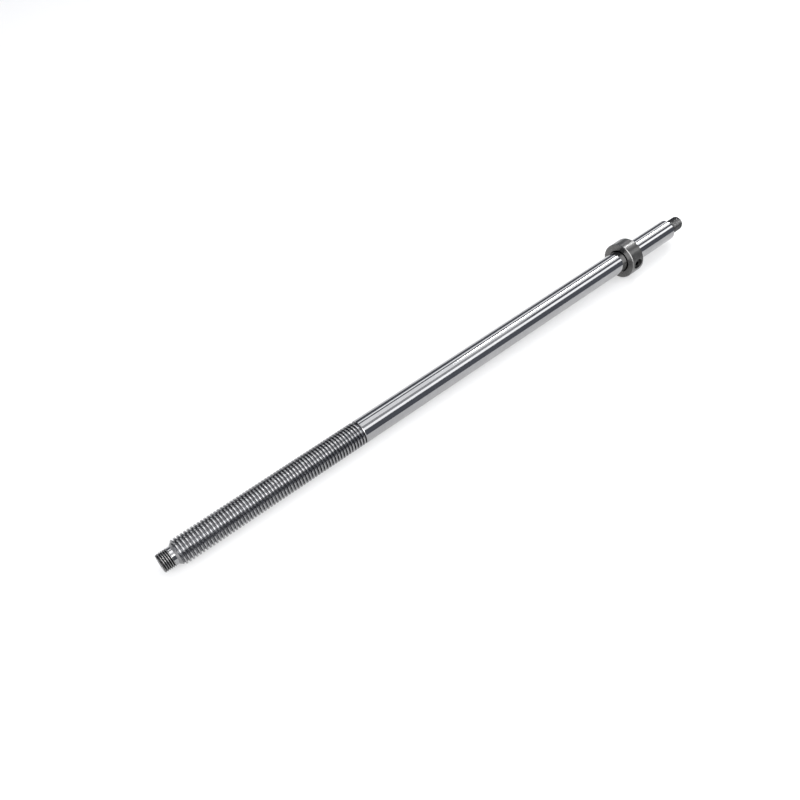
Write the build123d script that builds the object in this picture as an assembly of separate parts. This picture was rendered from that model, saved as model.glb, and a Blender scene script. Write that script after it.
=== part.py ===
"""Lead screw assembly: a threaded and ground screw shaft, its stop collar and the collar's set screw.

The row frame has its origin on the shaft axis at the drive-end shoulder. +X runs along the shaft towards the
drive end, +Z is up, and -Y is the side that the set screw faces. Lengths are in millimetres.
"""

import math
import os

from build123d import *

INCH = 25.4

# Screw shaft, from the drive end (+X) to the nut end (-X)
SHAFT_RADIUS = 0.75 * INCH / 2
SHANK_LENGTH = 14.4375 * INCH
SHOULDER_CHAMFER = 0.35
DRIVE_STUB_RADIUS = 0.5 * INCH / 2
DRIVE_STUB_LENGTH = 0.6875 * INCH
DRIVE_STUB_PITCH = INCH / 20
DRIVE_REGISTER_RADIUS = DRIVE_STUB_RADIUS + 0.05
RELIEF_WIDTH = 1.6
RELIEF_RADIUS = 8.05
THREAD_AND_CONE_LENGTH = 151.6
THREAD_PITCH = INCH / 10
THREAD_DEPTH = THREAD_PITCH / 2 + 0.127
THREAD_CREST_SHARE = 0.3707
THREAD_FLANK_ANGLE = 14.5
NECK_RADIUS = 6.65
NECK_LENGTH = 2.4
NUT_STUB_RADIUS = 0.5625 * INCH / 2
NUT_STUB_LENGTH = 0.3125 * INCH
NUT_STUB_PITCH = INCH / 18
STUB_END_CHAMFER = 0.9

# Unified form of the two fine stub threads, as shares of the pitch
FINE_DEPTH_SHARE = 0.6134
FINE_CREST_SHARE = 0.125
FINE_FLANK_ANGLE = 30.0

# Centre drillings in both end faces
CENTRE_MOUTH_RADIUS = 2.6
CENTRE_PILOT_RADIUS = 1.2
CENTRE_PILOT_DEPTH = 5.0
CENTRE_HALF_ANGLE = 30.0

# Stop collar
COLLAR_RADIUS = 1.25 * INCH / 2
COLLAR_WIDTH = 0.5625 * INCH
COLLAR_MIDDLE_X = -61.75
COLLAR_EDGE_CHAMFER = 0.5
COLLAR_BORE_CHAMFER = 0.8
RUNNING_CLEARANCE = 0.05

# Set screw, whose axis stands SET_SCREW_TILT degrees above the -Y direction
SET_SCREW_RADIUS = 0.3125 * INCH / 2
SET_SCREW_PITCH = INCH / 18
SET_SCREW_LENGTH = 0.1875 * INCH
SET_SCREW_TILT = 10.0
SET_SCREW_GAP = 0.05
TAPPED_HOLE_CLEARANCE = 0.04
TAPPED_MOUTH_CHAMFER = 0.6
SOCKET_ACROSS_FLATS = 5 / 32 * INCH
SOCKET_DEPTH = 2.6
CUP_RADIUS = 2.0
CUP_DEPTH = 0.7
POINT_CHAMFER = 0.9
HEAD_CHAMFER = 0.5

# Lengths below this count as nothing
TINY = 1e-6

# Stations along X, worked out from the lengths above
SHANK_START_X = -SHANK_LENGTH
RELIEF_START_X = SHANK_START_X - RELIEF_WIDTH
CONE_START_X = RELIEF_START_X - THREAD_AND_CONE_LENGTH
NECK_START_X = CONE_START_X - NECK_LENGTH
NUT_END_X = NECK_START_X - NUT_STUB_LENGTH
DRIVE_END_X = DRIVE_STUB_LENGTH
DRIVE_THREAD_START_X = DRIVE_STUB_PITCH


def polar(radius, degrees):
    """Point at an angle on a circle in the XY plane."""
    angle = math.radians(degrees)
    return (radius * math.cos(angle), radius * math.sin(angle))


def spiral(start_radius, start_angle, end_radius, end_angle):
    """Thread flank as it is cut by a plane square to the axis."""
    steps = 6
    points = []
    for i in range(steps + 1):
        share = i / steps
        radius = start_radius + (end_radius - start_radius) * share
        points.append(polar(radius, start_angle + (end_angle - start_angle) * share))
    return Spline(*points)


def thread_section(crest_radius, pitch, depth, crest_share, flank_angle):
    """Closed outline of a single-start thread, cut square to its axis."""
    flank_share = depth * math.tan(math.radians(flank_angle)) / pitch
    root_share = 1 - crest_share - 2 * flank_share
    root_radius = crest_radius - depth
    crest_half = 180 * crest_share
    root_start = crest_half + 360 * flank_share
    root_end = root_start + 360 * root_share
    root_middle = (root_start + root_end) / 2
    outline = [
        ThreePointArc(polar(crest_radius, -crest_half), polar(crest_radius, 0), polar(crest_radius, crest_half)),
        spiral(crest_radius, crest_half, root_radius, root_start),
        ThreePointArc(polar(root_radius, root_start), polar(root_radius, root_middle), polar(root_radius, root_end)),
        spiral(root_radius, root_end, crest_radius, 360 - crest_half),
    ]
    return Wire([curve.edges()[0] for curve in outline])


def threaded_length(length, section, pitch):
    """Right-hand threaded bar along +Z: one twisted segment per turn, their side faces joined into one solid."""
    faces = []
    start = 0
    while start < length - TINY:
        end = min(start + pitch, length)
        turn = Solid.extrude_linear_with_rotation(
            section, center=(0, 0, 0), normal=(0, 0, end - start), angle=360 * (end - start) / pitch
        )
        for face in (Pos(0, 0, start) * turn).faces():
            height = face.center().Z
            is_cap = face.geom_type == GeomType.PLANE
            is_inner = TINY < height < length - TINY
            if not (is_cap and is_inner):
                faces.append(face)
        start = end
    return Solid(Shell(faces))


def threaded_bar(start_x, end_x, section, pitch):
    """Right-hand threaded bar along +X."""
    place = Plane(origin=(start_x, 0, 0), x_dir=(0, 1, 0), z_dir=(1, 0, 0)).location
    return place * threaded_length(end_x - start_x, section, pitch)


def turned(points):
    """Solid of revolution about X from (x, radius) points, closed back to the axis."""
    outline = Polyline(*[(x, 0, radius) for x, radius in points], close=True)
    return revolve(make_face(outline), axis=Axis.X)


def bar_between(start_x, end_x, radius):
    """Plain round bar along X."""
    return turned([(start_x, 0), (start_x, radius), (end_x, radius), (end_x, 0)])


def end_ring(end_x, inward, radius, chamfer):
    """Ring that cuts a 45 degree chamfer on the end of a bar; inward is +1 or -1 along X."""
    outer = radius + 2
    return turned(
        [
            (end_x - inward, radius - chamfer - 1),
            (end_x + inward * (chamfer + 2), outer),
            (end_x - inward, outer),
        ]
    )


def centre_drilling(end_x, inward):
    """Centre drilling: a 60 degree countersink with a pilot hole behind it."""
    cone_depth = (CENTRE_MOUTH_RADIUS - CENTRE_PILOT_RADIUS) / math.tan(math.radians(CENTRE_HALF_ANGLE))
    return turned(
        [
            (end_x - inward, 0),
            (end_x - inward, CENTRE_MOUTH_RADIUS),
            (end_x, CENTRE_MOUTH_RADIUS),
            (end_x + inward * cone_depth, CENTRE_PILOT_RADIUS),
            (end_x + inward * CENTRE_PILOT_DEPTH, CENTRE_PILOT_RADIUS),
            (end_x + inward * (CENTRE_PILOT_DEPTH + CENTRE_PILOT_RADIUS), 0),
        ]
    )


def fine_section(crest_radius, pitch):
    """Outline of a unified fine thread."""
    return thread_section(crest_radius, pitch, FINE_DEPTH_SHARE * pitch, FINE_CREST_SHARE, FINE_FLANK_ANGLE)


def nut_end():
    """Threaded stub, plain neck and the start of the lead-in cone."""
    section = fine_section(NUT_STUB_RADIUS, NUT_STUB_PITCH)
    stub = threaded_bar(NUT_END_X, NECK_START_X, section, NUT_STUB_PITCH)
    stub -= end_ring(NUT_END_X, 1, NUT_STUB_RADIUS, STUB_END_CHAMFER)
    return stub + bar_between(NECK_START_X, CONE_START_X, NECK_RADIUS)


def main_thread():
    """Main screw thread, turned down to a 45 degree cone where it meets the neck."""
    section = thread_section(SHAFT_RADIUS, THREAD_PITCH, THREAD_DEPTH, THREAD_CREST_SHARE, THREAD_FLANK_ANGLE)
    thread = threaded_bar(CONE_START_X, RELIEF_START_X, section, THREAD_PITCH)
    return thread - end_ring(CONE_START_X, 1, SHAFT_RADIUS, SHAFT_RADIUS - NECK_RADIUS)


def shank():
    """Thread relief, ground shank with broken edges, and the plain start of the drive stub."""
    return turned(
        [
            (RELIEF_START_X, 0),
            (RELIEF_START_X, RELIEF_RADIUS),
            (SHANK_START_X, RELIEF_RADIUS),
            (SHANK_START_X, SHAFT_RADIUS - SHOULDER_CHAMFER),
            (SHANK_START_X + SHOULDER_CHAMFER, SHAFT_RADIUS),
            (-SHOULDER_CHAMFER, SHAFT_RADIUS),
            (0, SHAFT_RADIUS - SHOULDER_CHAMFER),
            (0, DRIVE_REGISTER_RADIUS),
            (DRIVE_THREAD_START_X, DRIVE_REGISTER_RADIUS),
            (DRIVE_THREAD_START_X, 0),
        ]
    )


def drive_end():
    """Threaded stub beyond the drive-end shoulder."""
    section = fine_section(DRIVE_STUB_RADIUS, DRIVE_STUB_PITCH)
    stub = threaded_bar(DRIVE_THREAD_START_X, DRIVE_END_X, section, DRIVE_STUB_PITCH)
    return stub - end_ring(DRIVE_END_X, -1, DRIVE_STUB_RADIUS, STUB_END_CHAMFER)


def screw_shaft():
    """The whole one-piece screw shaft."""
    shaft = nut_end() + main_thread() + shank() + drive_end()
    shaft -= centre_drilling(NUT_END_X, 1)
    shaft -= centre_drilling(DRIVE_END_X, -1)
    return shaft


def set_screw_plane():
    """Plane whose normal is the set screw's axis and whose origin is on the shaft axis at mid collar."""
    tilt = math.radians(SET_SCREW_TILT)
    return Plane(
        origin=(COLLAR_MIDDLE_X, 0, 0), x_dir=(1, 0, 0), z_dir=(0, -math.cos(tilt), math.sin(tilt))
    )


def stop_collar():
    """Solid ring with a running bore, broken edges and one tapped radial hole."""
    left = COLLAR_MIDDLE_X - COLLAR_WIDTH / 2
    right = COLLAR_MIDDLE_X + COLLAR_WIDTH / 2
    bore = SHAFT_RADIUS + RUNNING_CLEARANCE
    ring = turned(
        [
            (left, bore + COLLAR_BORE_CHAMFER),
            (left, COLLAR_RADIUS - COLLAR_EDGE_CHAMFER),
            (left + COLLAR_EDGE_CHAMFER, COLLAR_RADIUS),
            (right - COLLAR_EDGE_CHAMFER, COLLAR_RADIUS),
            (right, COLLAR_RADIUS - COLLAR_EDGE_CHAMFER),
            (right, bore + COLLAR_BORE_CHAMFER),
            (right - COLLAR_BORE_CHAMFER, bore),
            (left + COLLAR_BORE_CHAMFER, bore),
        ]
    )
    hole_radius = SET_SCREW_RADIUS + TAPPED_HOLE_CLEARANCE
    reach = COLLAR_RADIUS + 1
    hole = Solid.make_cylinder(hole_radius, reach)
    mouth_start = math.sqrt(COLLAR_RADIUS**2 - hole_radius**2) - TAPPED_MOUTH_CHAMFER
    mouth = Pos(0, 0, mouth_start) * Solid.make_cone(
        hole_radius, hole_radius + reach - mouth_start, reach - mouth_start
    )
    place = set_screw_plane().location
    return ring - place * hole - place * mouth


def set_screw():
    """Socket set screw with a cup point, its point just clear of the shaft."""
    point = SHAFT_RADIUS + SET_SCREW_GAP
    head = point + SET_SCREW_LENGTH
    section = fine_section(SET_SCREW_RADIUS, SET_SCREW_PITCH)
    screw = threaded_length(SET_SCREW_LENGTH, section, SET_SCREW_PITCH)
    envelope = revolve(
        make_face(
            Polyline(
                (0, 0, 0),
                (SET_SCREW_RADIUS - POINT_CHAMFER, 0, 0),
                (SET_SCREW_RADIUS, 0, POINT_CHAMFER),
                (SET_SCREW_RADIUS, 0, SET_SCREW_LENGTH - HEAD_CHAMFER),
                (SET_SCREW_RADIUS - HEAD_CHAMFER, 0, SET_SCREW_LENGTH),
                (0, 0, SET_SCREW_LENGTH),
                close=True,
            )
        ),
        axis=Axis.Z,
    )
    screw = screw & envelope
    screw -= Solid.make_cone(CUP_RADIUS, 0, CUP_DEPTH)
    socket_start = SET_SCREW_LENGTH - SOCKET_DEPTH
    hexagon = RegularPolygon(SOCKET_ACROSS_FLATS / 2, 6, major_radius=False)
    screw -= extrude(Pos(0, 0, socket_start) * hexagon, SOCKET_DEPTH + 1)
    place = set_screw_plane().location
    print("set screw head stands", round(COLLAR_RADIUS - head, 2), "below the collar's surface")
    return place * Pos(0, 0, point) * screw


def main():
    os.makedirs("parts", exist_ok=True)
    export_step(screw_shaft(), "parts/screw_shaft.step")
    export_step(stop_collar(), "parts/stop_collar.step")
    export_step(set_screw(), "parts/set_screw.step")


main()
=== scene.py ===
"""Looks of the lead screw assembly: detailed shaft and collar meshes, steel materials, studio and camera.

Everything is in the part's own frame: the origin is on the shaft axis at the drive-end shoulder, +X runs
to the drive end, +Z is up and the set screw faces -Y. Lengths are in metres, and each value whose name
ends with ANGLE or TILT is in degrees.
"""
import math

import bmesh
import bpy
from mathutils import Matrix, Vector


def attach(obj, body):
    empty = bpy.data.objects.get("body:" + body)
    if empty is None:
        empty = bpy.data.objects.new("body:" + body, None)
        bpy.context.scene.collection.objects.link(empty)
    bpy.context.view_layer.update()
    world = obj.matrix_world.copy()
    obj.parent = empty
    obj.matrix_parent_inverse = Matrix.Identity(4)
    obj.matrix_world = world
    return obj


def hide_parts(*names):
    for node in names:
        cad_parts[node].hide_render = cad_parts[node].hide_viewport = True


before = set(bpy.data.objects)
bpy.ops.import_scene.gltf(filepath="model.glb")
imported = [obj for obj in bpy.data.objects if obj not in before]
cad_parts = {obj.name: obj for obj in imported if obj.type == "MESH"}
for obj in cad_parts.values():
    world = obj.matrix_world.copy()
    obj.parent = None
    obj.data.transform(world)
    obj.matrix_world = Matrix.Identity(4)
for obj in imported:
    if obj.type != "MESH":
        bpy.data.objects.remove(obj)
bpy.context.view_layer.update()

MM = 0.001
MICRON = 0.001 * MM
INCH = 25.4 * MM
TURN = 2 * math.pi

# Shaft
SHAFT_RADIUS = 0.375 * INCH
SHANK_START = -14.4375 * INCH
RELIEF_WIDTH = 1.6 * MM
RELIEF_RADIUS = 8.05 * MM
RELIEF_START = SHANK_START - RELIEF_WIDTH
MAIN_THREAD_LENGTH = 151.6 * MM
CONE_START = RELIEF_START - MAIN_THREAD_LENGTH
NECK_WIDTH = 2.4 * MM
NECK_RADIUS = 6.65 * MM
NECK_START = CONE_START - NECK_WIDTH
NUT_STUB_LENGTH = 0.3125 * INCH
NUT_STUB_RADIUS = 0.28125 * INCH
NUT_END = NECK_START - NUT_STUB_LENGTH
DRIVE_STUB_RADIUS = 0.25 * INCH
DRIVE_END = 0.6875 * INCH
DRIVE_REGISTER_RADIUS = DRIVE_STUB_RADIUS + 0.05 * MM
EDGE_BREAK = 0.35 * MM
STUB_CHAMFER = 0.9 * MM
CENTRE_MOUTH_RADIUS = 2.6 * MM
CENTRE_PILOT_RADIUS = 1.2 * MM
CENTRE_PILOT_DEPTH = 5.0 * MM
CENTRE_HALF_ANGLE = 30.0

# Threads: the main one is trapezoidal, and the stubs have the 60 degree V form
MAIN_PITCH = INCH / 10
MAIN_DEPTH = MAIN_PITCH / 2 + 0.127 * MM
MAIN_CREST_SHARE = 0.3707
MAIN_FLANK_ANGLE = 14.5
MAIN_CREST_BREAK = 0.08 * MM
NUT_STUB_PITCH = INCH / 18
DRIVE_STUB_PITCH = INCH / 20
V_DEPTH_SHARE = 0.6134
V_CREST_SHARE = 0.125
V_FLANK_ANGLE = 30.0
V_CREST_BREAK = 0.05 * MM

# Stop collar and its tapped hole
COLLAR_RADIUS = 0.625 * INCH
COLLAR_WIDTH = 0.5625 * INCH
COLLAR_MIDDLE_X = -61.75 * MM
COLLAR_EDGE = 0.5 * MM
COLLAR_BORE_EDGE = 0.8 * MM
COLLAR_BORE_RADIUS = SHAFT_RADIUS + 0.05 * MM
HOLE_RADIUS = 0.15625 * INCH + 0.04 * MM
HOLE_TILT = 10.0
HOLE_MOUTH_CHAMFER = 0.6 * MM
HOLE_PITCH = INCH / 18
HOLE_THREAD_DEPTH = 0.35 * MM
HOLE_START = 6.0 * MM
HOLE_OVERSHOOT = 1.0 * MM

# Segments round each surface, and steps along the tapped hole
SHANK_SEGMENTS = 192
THREAD_SEGMENTS = 80
STUB_SEGMENTS = 72
COLLAR_SEGMENTS = 256
HOLE_SEGMENTS = 72
HOLE_STEPS_PER_PITCH = 16

# Meshing: LOOP_STEP keeps two loops in one end plane apart, so that a wall can join them
LOOP_STEP = 0.02 * MM
CAP_TOLERANCE = 0.01 * MM
PLANE_TOLERANCE = 2 * MICRON
MERGE_DISTANCE = 0.5 * MICRON
THREAD_MERGE_DISTANCE = 0.1 * MICRON
CUT_TOLERANCE = 0.01 * MICRON
SHARP_ANGLE = 24.0

# Material slots of the shaft and of the collar
GROUND, TURNED, NUT_STUB, DRIVE_STUB, CONE = 0, 1, 2, 3, 4
SIDE, OUTSIDE, EDGE, BORE = 0, 1, 2, 3

# Thread shading runs from just below the main root, or from 0.6 of a pitch below a stub's crest
MAIN_SHADE_START = 8.1 * MM
STUB_SHADE_SHARE = 0.6

# Studio and camera
FLOOR_SIZE = 6.0
FLOOR_GREY = 0.43
FLOOR_GLOW = 0.36
FLOOR_ROUGHNESS = 0.6
FLOOR_SPECULAR = 0.2
WORLD_COLOUR = (0.47, 0.5, 0.58)
WORLD_STRENGTH = 0.42
END_PANEL_DISTANCE = 1.8
END_PANEL_HEIGHT = 0.7
END_PANEL_LENGTH = 2.4
END_PANEL_WIDTH = 1.6
SIDE_FILL_PLACE = Vector((-1.9, -1.0, 1.3))
SIDE_FILL_SIZE = 2.4
SIDE_FILL_RADIANCE = 4.7
MID_SHAFT = Vector((-0.26, 0, 0))
CAMERA_PLACE = Vector((-0.5619, -0.2737, 0.4365))
CAMERA_AIM = Vector((-0.3239, 0.0042, 0.0))
CAMERA_LENS = 33.77
CAMERA_SENSOR = 36.0
CAMERA_CLIP_START = 0.01


# ---------------------------------------------------------------- materials

class Nodes:
    """Short way to add and link shader nodes."""

    def __init__(self, name, metallic=1.0):
        self.material = bpy.data.materials.new(name)
        self.material.use_nodes = True
        self.tree = self.material.node_tree
        self.shader = self.tree.nodes["Principled BSDF"]
        self.shader.inputs["Metallic"].default_value = metallic
        self.coord = self.add("ShaderNodeTexCoord").outputs["Object"]

    def add(self, kind, **values):
        node = self.tree.nodes.new(kind)
        for key, value in values.items():
            setattr(node, key, value)
        return node

    def link(self, output, target):
        self.tree.links.new(output, target)

    def paint(self, colour):
        self.link(colour, self.shader.inputs["Base Color"])

    def roughen(self, roughness):
        self.link(roughness, self.shader.inputs["Roughness"])

    def bump(self, height, distance):
        node = self.add("ShaderNodeBump")
        node.inputs["Distance"].default_value = distance
        self.link(height, node.inputs["Height"])
        self.link(node.outputs["Normal"], self.shader.inputs["Normal"])

    def noise(self, scale, detail):
        """Noise texture; scale is a tuple of cycles per metre along X, Y and Z."""
        mapping = self.add("ShaderNodeMapping")
        mapping.inputs["Scale"].default_value = scale
        self.link(self.coord, mapping.inputs["Vector"])
        noise = self.add("ShaderNodeTexNoise")
        noise.inputs["Scale"].default_value = 1.0
        noise.inputs["Detail"].default_value = detail
        self.link(mapping.outputs["Vector"], noise.inputs["Vector"])
        return noise.outputs["Fac"]

    def ring_noise(self, scale, detail):
        """Noise that changes only with the distance from the shaft axis; scale is cycles per metre."""
        noise = self.add("ShaderNodeTexNoise", noise_dimensions="1D")
        noise.inputs["Scale"].default_value = 1.0
        noise.inputs["Detail"].default_value = detail
        self.link(self.math("MULTIPLY", self.axis_distance(), scale), noise.inputs["W"])
        return noise.outputs["Fac"]

    def ramp(self, value, stops):
        """Colour ramp through (position, colour) stops; a plain number is a grey."""
        ramp = self.add("ShaderNodeValToRGB")
        elements = ramp.color_ramp.elements
        while len(elements) < len(stops):
            elements.new(0.5)
        for element, (position, colour) in zip(elements, stops):
            element.position = position
            rgb = colour if isinstance(colour, tuple) else (colour, colour, colour)
            element.color = (*rgb, 1.0)
        self.link(value, ramp.inputs["Fac"])
        return ramp.outputs["Color"]

    def math(self, operation, first, second=None):
        node = self.add("ShaderNodeMath", operation=operation)
        for socket, value in zip(node.inputs, (first, second)):
            if value is None:
                continue
            if isinstance(value, (int, float)):
                socket.default_value = value
            else:
                self.link(value, socket)
        return node.outputs[0]

    def blend(self, first, second, share):
        """Weighted sum of two values; share is the weight of the first."""
        weighted_first = self.math("MULTIPLY", first, share)
        weighted_second = self.math("MULTIPLY", second, 1 - share)
        return self.math("ADD", weighted_first, weighted_second)

    def multiply(self, first, second):
        """Product of two colours; sockets 0, 6 and 7 are the factor and the two colours."""
        node = self.add("ShaderNodeMix", data_type="RGBA", blend_type="MULTIPLY")
        node.inputs[0].default_value = 1.0
        self.link(first, node.inputs[6])
        self.link(second, node.inputs[7])
        return node.outputs[2]

    def axis_distance(self):
        """Distance from the shaft axis, in metres."""
        split = self.add("ShaderNodeSeparateXYZ")
        self.link(self.coord, split.inputs[0])
        y2 = self.math("POWER", split.outputs["Y"], 2)
        z2 = self.math("POWER", split.outputs["Z"], 2)
        return self.math("SQRT", self.math("ADD", y2, z2))

    def thread_level(self, low_radius, crest_radius):
        """0 at the low radius and 1 at the crest."""
        span = self.add("ShaderNodeMapRange")
        span.inputs["From Min"].default_value = low_radius
        span.inputs["From Max"].default_value = crest_radius
        self.link(self.axis_distance(), span.inputs["Value"])
        return span.outputs["Result"]


def ground_steel():
    """Ground and polished bar: mirror-like, with fine marks round the shaft and faint stains."""
    n = Nodes("ground_steel")
    marks = n.noise((9000, 60, 60), detail=4)
    cloud = n.noise((45, 90, 90), detail=5)
    base = n.ramp(marks, [(0.3, (0.31, 0.31, 0.315)), (0.7, (0.36, 0.36, 0.365))])
    stain = n.ramp(cloud, [(0.42, 0.93), (0.62, 1.0)])
    n.paint(n.multiply(base, stain))
    n.roughen(n.ramp(n.blend(marks, cloud, share=0.5), [(0.35, 0.055), (0.7, 0.115)]))
    n.bump(marks, 0.6 * MICRON)
    return n.material


def turned_steel():
    """Cut thread: bright crests with fine tool marks, and flanks and roots painted darker as shade in the
    grooves.
    """
    n = Nodes("turned_thread_steel")
    marks = n.noise((14000, 160, 160), detail=4)
    cloud = n.noise((160, 260, 260), detail=5)
    # Painted shade: the root and flank greys darken the grooves towards their roots.
    root = (0.13, 0.132, 0.14)
    flank = (0.17, 0.172, 0.18)
    crest = (0.35, 0.35, 0.355)
    level = n.thread_level(MAIN_SHADE_START, SHAFT_RADIUS)
    groove_painted_shade = n.ramp(level, [(0.0, root), (0.75, flank), (0.97, crest)])
    worn = n.ramp(cloud, [(0.35, 0.78), (0.65, 1.0)])
    tool = n.ramp(marks, [(0.3, 0.86), (0.7, 1.0)])
    n.paint(n.multiply(n.multiply(groove_painted_shade, worn), tool))
    n.roughen(n.ramp(n.blend(marks, cloud, share=0.4), [(0.35, 0.17), (0.7, 0.3)]))
    n.bump(marks, 2.5 * MICRON)
    return n.material


def plain_turned_steel():
    """Lead-in cone: freshly turned, with rings left by the tool."""
    n = Nodes("plain_turned_steel")
    marks = n.noise((16000, 120, 120), detail=4)
    cloud = n.noise((220, 300, 300), detail=5)
    base = n.ramp(marks, [(0.3, (0.18, 0.18, 0.185)), (0.7, (0.25, 0.25, 0.255))])
    worn = n.ramp(cloud, [(0.35, 0.8), (0.65, 1.0)])
    n.paint(n.multiply(base, worn))
    n.roughen(n.ramp(cloud, [(0.35, 0.22), (0.7, 0.32)]))
    n.bump(marks, 2.5 * MICRON)
    return n.material


def dark_stub_steel(name, crest_radius, pitch, crest_grey):
    """Dark, oil-stained threaded stub with rubbed crests, and grooves painted darker towards their roots as
    shade.
    """
    n = Nodes(name)
    marks = n.noise((9000, 200, 200), detail=3)
    cloud = n.noise((260, 320, 320), detail=5)
    level = n.thread_level(crest_radius - STUB_SHADE_SHARE * pitch, crest_radius)
    # Painted shade: the greys darken from the rubbed crests down to the roots.
    base = n.ramp(level, [(0.1, (0.03, 0.03, 0.031)), (0.5, 0.16 * crest_grey), (0.88, crest_grey)])
    worn = n.ramp(cloud, [(0.35, 0.72), (0.65, 1.0)])
    tool = n.ramp(marks, [(0.3, 0.8), (0.7, 1.0)])
    n.paint(n.multiply(n.multiply(base, worn), tool))
    n.roughen(n.ramp(cloud, [(0.35, 0.28), (0.7, 0.18)]))
    n.bump(marks, 3 * MICRON)
    return n.material


def collar_steel(name, dark, light, roughness, metallic=1.0):
    """Collar metal with turning marks: rings on its sides and hoops outside; dark and light are greys."""
    n = Nodes(name, metallic)
    hoops = n.noise((12000, 120, 120), detail=3)
    cloud = n.noise((170, 170, 170), detail=5)
    rings = n.ring_noise(9000.0, detail=3)
    marks = n.blend(hoops, rings, share=0.5)
    dark_colour = (dark, dark * 0.99, dark * 0.98)
    light_colour = (light, light * 0.985, light * 0.97)
    base = n.ramp(cloud, [(0.35, dark_colour), (0.65, light_colour)])
    tool = n.ramp(marks, [(0.35, 0.82), (0.65, 1.0)])
    n.paint(n.multiply(base, tool))
    n.roughen(n.ramp(cloud, [(0.35, roughness), (0.7, roughness + 0.08)]))
    n.bump(marks, 2.5 * MICRON)
    return n.material


def black_oxide():
    """Black oxide set screw with a thin oily sheen."""
    n = Nodes("black_oxide_steel")
    cloud = n.noise((900, 900, 900), detail=4)
    n.paint(n.ramp(cloud, [(0.3, (0.011, 0.011, 0.012)), (0.7, (0.024, 0.024, 0.025))]))
    n.roughen(n.ramp(cloud, [(0.3, 0.32), (0.7, 0.5)]))
    n.bump(cloud, 6 * MICRON)
    return n.material


# ---------------------------------------------------------------- shared mesh steps

def ring_point(x, radius, angle):
    return (x, radius * math.sin(angle), radius * math.cos(angle))


def add_turned(bm, outline, segments, material):
    """Adds a surface of revolution about X through (x, radius) points; a radius of 0 closes it."""
    rings = []
    for x, radius in outline:
        if radius == 0:
            places = [(x, 0, 0)]
        else:
            places = [ring_point(x, radius, TURN * i / segments) for i in range(segments)]
        rings.append([bm.verts.new(place) for place in places])
    for low, high in zip(rings, rings[1:]):
        for i in range(segments):
            j = (i + 1) % segments
            corners = [low[i % len(low)], high[i % len(high)], high[j % len(high)], low[j % len(low)]]
            unique = list(dict.fromkeys(corners))
            bm.faces.new(unique).material_index = material


def finished_object(mesh, name):
    """Linked object of the mesh, shaded smooth between its sharp edges."""
    mesh.shade_smooth()
    mesh.set_sharp_from_angle(angle=math.radians(SHARP_ANGLE))
    obj = bpy.data.objects.new(name, mesh)
    bpy.context.scene.collection.objects.link(obj)
    return obj


# ---------------------------------------------------------------- shaft mesh

def thread_profile(crest_radius, pitch, depth, crest_share, flank_degrees, rounding):
    """(axial offset, radius) points over one pitch, starting mid crest, with broken crest edges.

    The plain fractions only spread the points along the crest, its broken edge, the flank and the root.
    """
    flank = depth * math.tan(math.radians(flank_degrees))
    crest = crest_share * pitch / 2
    root = pitch / 2 - crest - flank
    lip = rounding * math.tan(math.radians(flank_degrees))
    root_radius = crest_radius - depth
    half = [
        (0, crest_radius),
        (crest * 0.5, crest_radius),
        (crest - rounding, crest_radius),
        (crest - rounding * 0.25, crest_radius - rounding * 0.25),
        (crest + lip, crest_radius - rounding),
        (crest + flank * 0.6, crest_radius - depth * 0.6),
        (crest + flank * 0.97, root_radius + depth * 0.03),
        (crest + flank + root * 0.2, root_radius),
    ]
    mirrored = [(pitch - x, radius) for x, radius in reversed(half[1:])]
    return half + mirrored


def stub_profile(radius, pitch):
    return thread_profile(radius, pitch, V_DEPTH_SHARE * pitch, V_CREST_SHARE, V_FLANK_ANGLE, V_CREST_BREAK)


def main_profile():
    return thread_profile(
        SHAFT_RADIUS, MAIN_PITCH, MAIN_DEPTH, MAIN_CREST_SHARE, MAIN_FLANK_ANGLE, MAIN_CREST_BREAK,
    )


def add_thread(bm, start, end, pitch, profile, segments, material, limit, trimmed):
    """Adds a right-hand thread between two planes, with a crest at +Y in the start plane.

    limit(x) caps the radius, as a chamfer or cone does, and faces on that cap get the trimmed material.
    """
    phase = -TURN / 4 - TURN * start / pitch
    part = bmesh.new()
    first = math.floor((start - pitch) / pitch) - 1
    rows = int(math.ceil((end - start) / pitch) + 3) * segments
    columns = []
    for row in range(rows + 1):
        turn = (row + 0.5) / segments
        angle = -TURN * turn - phase
        column = []
        for offset, radius in profile + [(pitch, profile[0][1])]:
            x = (first + turn) * pitch + offset
            column.append(part.verts.new(ring_point(x, min(radius, limit(x)), angle)))
        columns.append(column)
    for low, high in zip(columns, columns[1:]):
        for k in range(len(profile)):
            part.faces.new((low[k], low[k + 1], high[k + 1], high[k]))
    bmesh.ops.remove_doubles(part, verts=part.verts, dist=THREAD_MERGE_DISTANCE)
    for plane, outward in ((start, -1), (end, 1)):
        bmesh.ops.bisect_plane(
            part, geom=part.verts[:] + part.edges[:] + part.faces[:], dist=CUT_TOLERANCE,
            plane_co=(plane, 0, 0), plane_no=(outward, 0, 0), clear_outer=True,
        )
    for face in part.faces:
        capped = all(math.hypot(v.co.y, v.co.z) > limit(v.co.x) - CAP_TOLERANCE for v in face.verts)
        face.material_index = trimmed if capped else material
    mesh = bpy.data.meshes.new("thread")
    part.to_mesh(mesh)
    part.free()
    bm.from_mesh(mesh)
    bpy.data.meshes.remove(mesh)


def close_wall(bm, x, material):
    """Fills the flat ring between the two open loops in the plane at x."""
    edges = [
        e for e in bm.edges
        if e.is_boundary and all(abs(v.co.x - x) < PLANE_TOLERANCE for v in e.verts)
    ]
    for face in bmesh.ops.bridge_loops(bm, edges=edges)["faces"]:
        face.material_index = material


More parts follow.
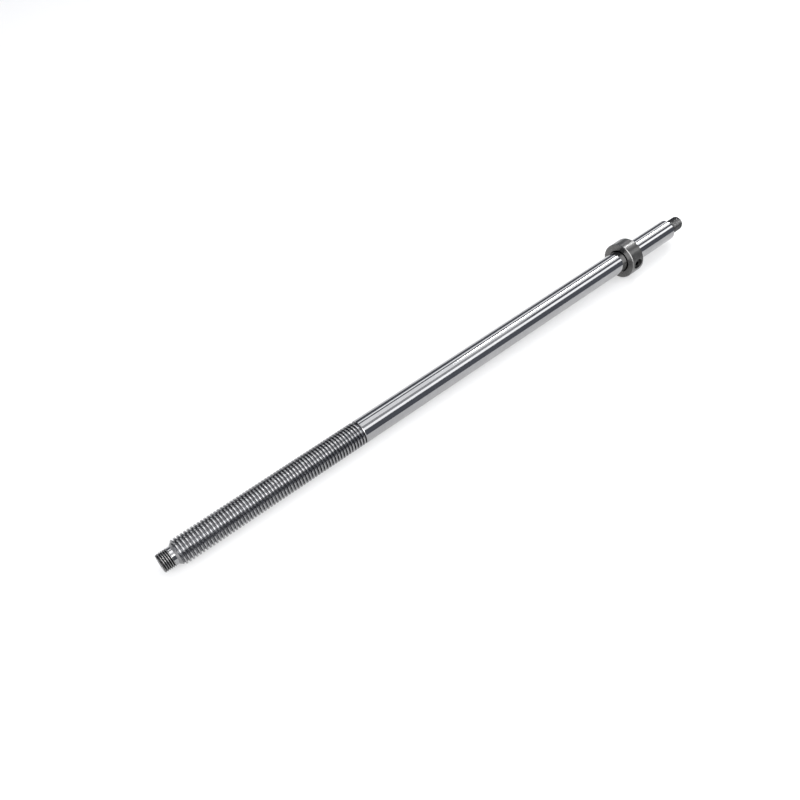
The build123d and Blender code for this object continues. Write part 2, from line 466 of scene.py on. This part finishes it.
def centre_drilling(end, inward):
    """(x, radius) points from the end face's rim of the centre drilling to its bottom."""
    cone = (CENTRE_MOUTH_RADIUS - CENTRE_PILOT_RADIUS) / math.tan(math.radians(CENTRE_HALF_ANGLE))
    return [
        (end, CENTRE_MOUTH_RADIUS),
        (end + inward * cone, CENTRE_PILOT_RADIUS),
        (end + inward * CENTRE_PILOT_DEPTH, CENTRE_PILOT_RADIUS),
        (end + inward * (CENTRE_PILOT_DEPTH + CENTRE_PILOT_RADIUS), 0),
    ]


def add_shaft_turning(bm):
    """The turned surfaces of the shaft from the nut end to the drive end, without threads and end walls."""
    nut_rim = (NUT_END, NUT_STUB_RADIUS - STUB_CHAMFER - LOOP_STEP)
    neck = [(NECK_START, NECK_RADIUS), (CONE_START, NECK_RADIUS)]
    relief = [
        (RELIEF_START, RELIEF_RADIUS), (SHANK_START, RELIEF_RADIUS),
        (SHANK_START, SHAFT_RADIUS - EDGE_BREAK),
    ]
    shank = [
        (SHANK_START, SHAFT_RADIUS - EDGE_BREAK), (SHANK_START + EDGE_BREAK, SHAFT_RADIUS),
        (-EDGE_BREAK, SHAFT_RADIUS), (0, SHAFT_RADIUS - EDGE_BREAK), (0, DRIVE_REGISTER_RADIUS),
    ]
    register = [(0, DRIVE_REGISTER_RADIUS), (DRIVE_STUB_PITCH, DRIVE_REGISTER_RADIUS)]
    drive_rim = (DRIVE_END, DRIVE_STUB_RADIUS - STUB_CHAMFER - LOOP_STEP)
    add_turned(bm, [nut_rim] + centre_drilling(NUT_END, 1), STUB_SEGMENTS, NUT_STUB)
    add_turned(bm, neck, SHANK_SEGMENTS, GROUND)
    add_turned(bm, relief, SHANK_SEGMENTS, TURNED)
    add_turned(bm, shank, SHANK_SEGMENTS, GROUND)
    add_turned(bm, register, SHANK_SEGMENTS, DRIVE_STUB)
    add_turned(bm, [drive_rim] + centre_drilling(DRIVE_END, -1), STUB_SEGMENTS, DRIVE_STUB)
    bmesh.ops.remove_doubles(bm, verts=bm.verts, dist=MERGE_DISTANCE)


def add_shaft_threads(bm):
    """The two stub threads with chamfered free ends, and between them the main thread with its cone."""
    add_thread(
        bm, NUT_END, NECK_START, NUT_STUB_PITCH, stub_profile(NUT_STUB_RADIUS, NUT_STUB_PITCH),
        STUB_SEGMENTS, NUT_STUB,
        lambda x: NUT_STUB_RADIUS - STUB_CHAMFER + max(0.0, x - NUT_END), NUT_STUB,
    )
    add_thread(
        bm, CONE_START, RELIEF_START, MAIN_PITCH, main_profile(),
        THREAD_SEGMENTS, TURNED,
        lambda x: NECK_RADIUS + LOOP_STEP + max(0.0, x - CONE_START), CONE,
    )
    add_thread(
        bm, DRIVE_STUB_PITCH, DRIVE_END, DRIVE_STUB_PITCH, stub_profile(DRIVE_STUB_RADIUS, DRIVE_STUB_PITCH),
        STUB_SEGMENTS, DRIVE_STUB,
        lambda x: DRIVE_STUB_RADIUS - STUB_CHAMFER + max(0.0, DRIVE_END - x), DRIVE_STUB,
    )


def build_shaft(materials):
    """The one-piece screw shaft as one closed mesh."""
    bm = bmesh.new()
    add_shaft_turning(bm)
    add_shaft_threads(bm)
    walls = (
        (NUT_END, NUT_STUB), (NECK_START, NUT_STUB), (CONE_START, CONE), (RELIEF_START, TURNED),
        (DRIVE_STUB_PITCH, DRIVE_STUB), (DRIVE_END, DRIVE_STUB),
    )
    for x, material in walls:
        close_wall(bm, x, material)
    bmesh.ops.recalc_face_normals(bm, faces=bm.faces)
    mesh = bpy.data.meshes.new("screw_shaft_detail")
    bm.to_mesh(mesh)
    bm.free()
    for material in materials:
        mesh.materials.append(material)
    return finished_object(mesh, "screw_shaft_detail")


# ---------------------------------------------------------------- collar mesh

def hole_matrix():
    """Takes local Z to the tapped hole's axis and the origin to the shaft axis at mid collar."""
    tilt = math.radians(HOLE_TILT)
    axis = Vector((0, -math.cos(tilt), math.sin(tilt)))
    side = Vector((1, 0, 0))
    turn = Matrix((side, axis.cross(side), axis)).transposed().to_4x4()
    return Matrix.Translation((COLLAR_MIDDLE_X, 0, 0)) @ turn


def hole_cutter_radius(height, turn):
    """Radius of the tapped hole's cutter: a helical V ridge, or the countersunk mouth if that is wider."""
    wave = (height / HOLE_PITCH - turn) % 1.0
    ridge = HOLE_THREAD_DEPTH * (1 - abs(2 * wave - 1))
    mouth_start = math.sqrt(COLLAR_RADIUS ** 2 - HOLE_RADIUS ** 2) - HOLE_MOUTH_CHAMFER
    return HOLE_RADIUS + max(ridge, height - mouth_start)


def build_hole_cutter():
    """Closed mesh in the shape of the tapped hole, reaching past the collar's outside."""
    bm = bmesh.new()
    top = COLLAR_RADIUS + HOLE_OVERSHOOT
    steps = round((top - HOLE_START) / HOLE_PITCH * HOLE_STEPS_PER_PITCH)
    rings = []
    for i in range(steps + 1):
        height = HOLE_START + (top - HOLE_START) * i / steps
        ring = []
        for j in range(HOLE_SEGMENTS):
            turn = j / HOLE_SEGMENTS
            angle = TURN * turn
            radius = hole_cutter_radius(height, turn)
            ring.append(bm.verts.new((radius * math.cos(angle), radius * math.sin(angle), height)))
        rings.append(ring)
    for low, high in zip(rings, rings[1:]):
        for j in range(HOLE_SEGMENTS):
            k = (j + 1) % HOLE_SEGMENTS
            bm.faces.new((low[j], low[k], high[k], high[j]))
    bm.faces.new(list(reversed(rings[0])))
    bm.faces.new(rings[-1])
    # The hole's faces take the bore material, painted dark as shade inside the hole.
    for face in bm.faces:
        face.material_index = BORE
    bm.transform(hole_matrix())
    mesh = bpy.data.meshes.new("hole_cutter")
    bm.to_mesh(mesh)
    bm.free()
    return mesh


def build_collar_ring():
    """The collar's closed ring with broken edges, before its hole is cut."""
    left = COLLAR_MIDDLE_X - COLLAR_WIDTH / 2
    right = COLLAR_MIDDLE_X + COLLAR_WIDTH / 2
    mouth = COLLAR_BORE_RADIUS + COLLAR_BORE_EDGE
    rim = COLLAR_RADIUS - COLLAR_EDGE
    middle = (mouth + rim) / 2
    bore = [
        (right, mouth), (right - COLLAR_BORE_EDGE, COLLAR_BORE_RADIUS),
        (left + COLLAR_BORE_EDGE, COLLAR_BORE_RADIUS), (left, mouth),
    ]
    outlines = (
        ([(left, mouth), (left, middle), (left, rim)], SIDE),
        ([(left, rim), (left + COLLAR_EDGE, COLLAR_RADIUS)], EDGE),
        ([(left + COLLAR_EDGE, COLLAR_RADIUS), (right - COLLAR_EDGE, COLLAR_RADIUS)], OUTSIDE),
        ([(right - COLLAR_EDGE, COLLAR_RADIUS), (right, rim)], EDGE),
        ([(right, rim), (right, middle), (right, mouth)], SIDE),
        (bore, BORE),
    )
    bm = bmesh.new()
    for outline, material in outlines:
        add_turned(bm, outline, COLLAR_SEGMENTS, material)
    bmesh.ops.remove_doubles(bm, verts=bm.verts, dist=MERGE_DISTANCE)
    bmesh.ops.recalc_face_normals(bm, faces=bm.faces)
    mesh = bpy.data.meshes.new("collar_ring")
    bm.to_mesh(mesh)
    bm.free()
    return mesh


def build_collar(materials):
    """The stop collar as one closed mesh, with broken edges and a tapped radial hole."""
    blank = bpy.data.objects.new("collar_blank", build_collar_ring())
    cutter = bpy.data.objects.new("hole_cutter", build_hole_cutter())
    for obj in (blank, cutter):
        for material in materials:
            obj.data.materials.append(material)
        bpy.context.scene.collection.objects.link(obj)
    cut = blank.modifiers.new("tapped_hole", "BOOLEAN")
    cut.operation = "DIFFERENCE"
    cut.solver = "EXACT"
    cut.object = cutter
    mesh = bpy.data.meshes.new_from_object(blank.evaluated_get(bpy.context.evaluated_depsgraph_get()))
    mesh.name = "stop_collar_detail"
    for obj in (blank, cutter):
        data = obj.data
        bpy.data.objects.remove(obj)
        bpy.data.meshes.remove(data)
    return finished_object(mesh, "stop_collar_detail")


# ---------------------------------------------------------------- studio and camera

def floor_slope():
    """Slope of a floor that touches both the collar and the first full thread crest."""
    contact_x = CONE_START + SHAFT_RADIUS - NECK_RADIUS
    return (COLLAR_RADIUS - SHAFT_RADIUS) / (COLLAR_MIDDLE_X - contact_x)


def build_floor():
    """Pale floor under the collar, rising towards the thread."""
    bpy.ops.mesh.primitive_plane_add(size=FLOOR_SIZE, location=(COLLAR_MIDDLE_X, 0, -COLLAR_RADIUS))
    floor = bpy.context.object
    floor.name = "floor"
    floor.rotation_euler = (0, math.atan(floor_slope()), 0)
    material = bpy.data.materials.new("pale_floor")
    material.use_nodes = True
    shader = material.node_tree.nodes["Principled BSDF"]
    shader.inputs["Base Color"].default_value = (FLOOR_GREY, FLOOR_GREY, FLOOR_GREY, 1)
    shader.inputs["Emission Color"].default_value = (1, 1, 1, 1)
    shader.inputs["Emission Strength"].default_value = FLOOR_GLOW
    shader.inputs["Roughness"].default_value = FLOOR_ROUGHNESS
    shader.inputs["Specular IOR Level"].default_value = FLOOR_SPECULAR
    floor.data.materials.append(material)


def area_light(name, place, rotation, length, width, radiance):
    """Rectangular light that the camera doesn't see; length and width run along its own X and Y."""
    light = bpy.data.lights.new(name, "AREA")
    light.shape = "RECTANGLE"
    light.size = length
    light.size_y = width
    light.energy = radiance * math.pi * width * length
    obj = bpy.data.objects.new(name, light)
    obj.location = place
    obj.rotation_euler = rotation
    obj.visible_camera = False
    bpy.context.scene.collection.objects.link(obj)


def softbox(name, elevation, distance, middle_x, width, length, radiance):
    """Light that runs along the shaft; elevation goes from -Y (0) over the top (90) to +Y (180)."""
    angle = math.radians(elevation)
    place = (middle_x, -distance * math.cos(angle), distance * math.sin(angle))
    back = Vector((0, -math.cos(angle), math.sin(angle)))
    along = Vector((1, 0, 0))
    rotation = Matrix((along, back.cross(along), back)).transposed().to_euler()
    area_light(name, place, rotation, length, width, radiance)


def end_panel(name, side, radiance):
    """Panel square to the shaft beyond one end; side is the sign of its X."""
    place = (side * END_PANEL_DISTANCE, 0, END_PANEL_HEIGHT)
    rotation = (math.pi / 2, 0, side * math.pi / 2)
    area_light(name, place, rotation, END_PANEL_LENGTH, END_PANEL_WIDTH, radiance)


def side_fill():
    """Large light aimed at mid shaft from beyond the nut end, so that the shadows stay light."""
    rotation = (MID_SHAFT - SIDE_FILL_PLACE).to_track_quat("-Z", "Y").to_euler()
    area_light("side_fill", SIDE_FILL_PLACE, rotation, SIDE_FILL_SIZE, SIDE_FILL_SIZE, SIDE_FILL_RADIANCE)


def build_lights():
    """Softboxes for the long highlights, panels for the thread and the ends, and a dim cool world."""
    softbox("front_softbox", 57.5, distance=1.2, middle_x=0.55, width=0.44, length=2.5, radiance=2.6)
    softbox("top_softbox", 104, distance=1.2, middle_x=0.55, width=0.72, length=2.5, radiance=1.8)
    softbox("key_strip", 111.5, distance=1.2, middle_x=1.1, width=0.11, length=1.3, radiance=38.0)
    softbox("rear_softbox", 140, distance=1.3, middle_x=0.55, width=0.3, length=2.5, radiance=2.05)
    softbox("bridge_panel", 78, distance=1.25, middle_x=-0.4, width=0.36, length=0.6, radiance=1.1)
    softbox("bridge_end_panel", 78, distance=1.25, middle_x=0.3, width=0.36, length=0.8, radiance=0.55)
    softbox("thread_front_panel", 57.5, distance=1.15, middle_x=-0.4, width=0.43, length=0.6, radiance=1.2)
    softbox("thread_top_panel", 106, distance=1.15, middle_x=-0.4, width=0.6, length=0.6, radiance=1.0)
    end_panel("nut_end_panel", -1, radiance=0.7)
    end_panel("drive_end_panel", 1, radiance=0.45)
    side_fill()
    world = bpy.data.worlds.new("studio")
    bpy.context.scene.world = world
    world.use_nodes = True
    background = world.node_tree.nodes["Background"]
    background.inputs["Color"].default_value = (*WORLD_COLOUR, 1)
    background.inputs["Strength"].default_value = WORLD_STRENGTH


def build_camera():
    camera = bpy.data.cameras.new("camera")
    camera.lens = CAMERA_LENS
    camera.sensor_width = CAMERA_SENSOR
    camera.clip_start = CAMERA_CLIP_START
    obj = bpy.data.objects.new("camera", camera)
    obj.location = CAMERA_PLACE
    obj.rotation_euler = (CAMERA_AIM - CAMERA_PLACE).to_track_quat("-Z", "Y").to_euler()
    bpy.context.scene.collection.objects.link(obj)
    bpy.context.scene.camera = obj
    bpy.context.scene.view_settings.view_transform = "Standard"


def dress(node, material):
    """Gives a CAD node its material."""
    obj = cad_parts[node]
    obj.data.materials.clear()
    obj.data.materials.append(material)


build_floor()
build_lights()
build_camera()

shaft = build_shaft([
    ground_steel(),
    turned_steel(),
    dark_stub_steel("nut_stub_steel", NUT_STUB_RADIUS, NUT_STUB_PITCH, crest_grey=0.5),
    dark_stub_steel("drive_stub_steel", DRIVE_STUB_RADIUS, DRIVE_STUB_PITCH, crest_grey=0.15),
    plain_turned_steel(),
])
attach(shaft, "shaft")
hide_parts("screw_shaft")

collar = build_collar([
    collar_steel("collar_side_steel", dark=0.125, light=0.155, roughness=0.24),
    collar_steel("collar_outside_steel", dark=0.038, light=0.052, roughness=0.2, metallic=0.25),
    # The chamfered edges are painted lighter than the outside: rubbed bare metal and a painted highlight
    # line.
    collar_steel("collar_edge_worn_highlight_steel", dark=0.16, light=0.21, roughness=0.24),
    # Painted shade: the bore and the tapped hole are painted darker than the outside, as shade inside them.
    collar_steel("collar_bore_painted_shade_steel", dark=0.014, light=0.024, roughness=0.36),
])
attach(collar, "collar")
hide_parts("stop_collar")

dress("set_screw", black_oxide())
